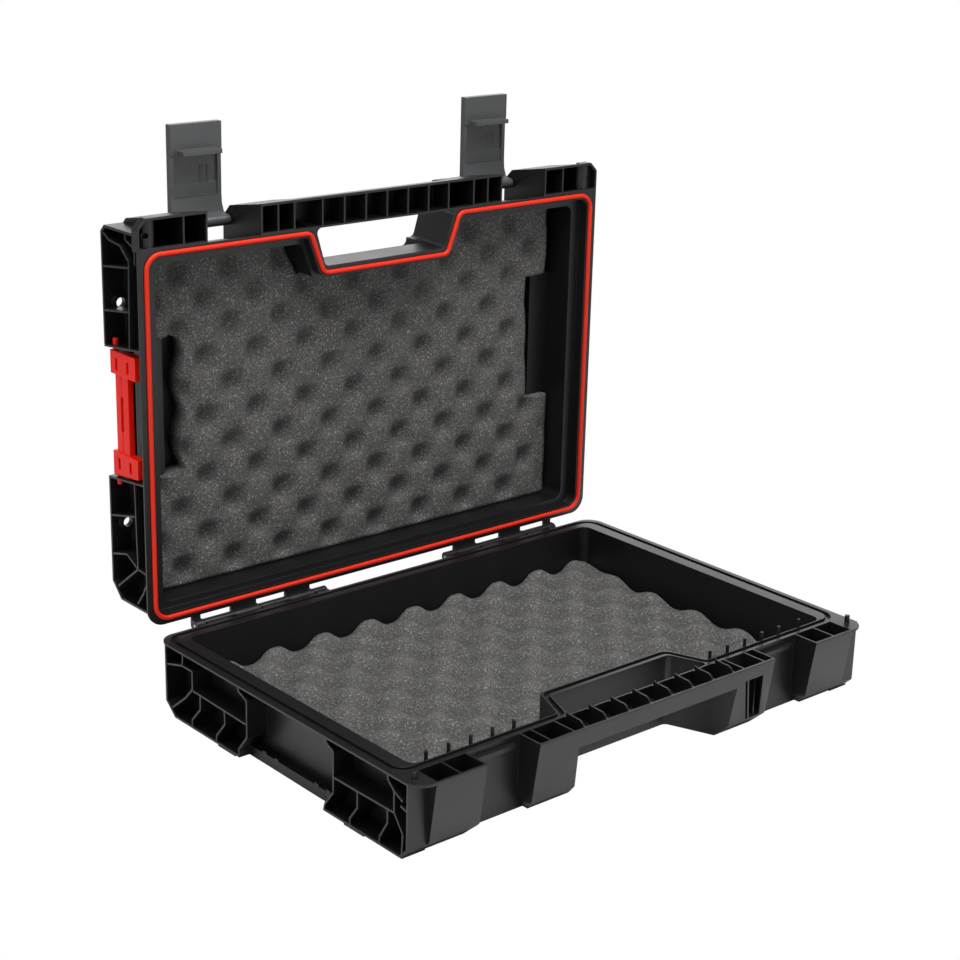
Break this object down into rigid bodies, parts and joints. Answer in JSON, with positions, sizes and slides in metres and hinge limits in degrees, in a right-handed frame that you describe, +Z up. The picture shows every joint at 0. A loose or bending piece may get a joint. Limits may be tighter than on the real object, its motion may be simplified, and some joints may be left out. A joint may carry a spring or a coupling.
{
  "type": "hard tool case",
  "caption": "Flat moulded tool case, standing open, with egg-crate foam in tray and lid, swing latches, side clips, a rim seal and a handle with a hand window.",
  "frame": {"origin": "on the floor under the middle of the open case's box", "axes": "+X to the right seen from the front, +Y to the back where the lid stands, +Z up"},
  "size_m": [0.45, 0.3772, 0.4289],
  "materials": {
    "shell": "fine moulded texture",
    "latch": "satin",
    "clip": "satin",
    "seal": "soft matte",
    "foam": "open-cell foam",
    "pin": "drawn wire"
  },
  "bodies": {
    "base": {"base_shell": "shell", "base_foam": "foam", "left_hinge_pin": "pin", "right_hinge_pin": "pin"},
    "lid": {"lid_shell": "shell", "lid_seal": "seal", "lid_foam": "foam", "left_latch_pin": "pin", "right_latch_pin": "pin"},
    "left_latch": {"left_latch": "latch"},
    "right_latch": {"right_latch": "latch"},
    "left_clip": {"left_clip": "clip"},
    "right_clip": {"right_clip": "clip"}
  },
  "joints": [
    {"name": "lid_hinge", "type": "hinge", "parent": "base", "child": "lid", "pos_m": [0, 0.12985, 0.05525], "axis": [1, 0, 0], "range_deg": [0, 90]},
    {"name": "left_latch_pivot", "type": "hinge", "parent": "lid", "child": "left_latch", "pos_m": [-0.1421, 0.1753, 0.3556], "axis": [1, 0, 0], "range_deg": [0, 90]},
    {"name": "right_latch_pivot", "type": "hinge", "parent": "lid", "child": "right_latch", "pos_m": [0.1421, 0.1753, 0.3556], "axis": [1, 0, 0], "range_deg": [0, 90]},
    {"name": "left_clip_pivot", "type": "hinge", "parent": "lid", "child": "left_clip", "pos_m": [-0.21965, 0.1763, 0.2217], "axis": [0, 0, -1], "range_deg": [0, 180]},
    {"name": "right_clip_pivot", "type": "hinge", "parent": "lid", "child": "right_clip", "pos_m": [0.21965, 0.1763, 0.2217], "axis": [0, 0, 1], "range_deg": [0, 180]}
  ]
}
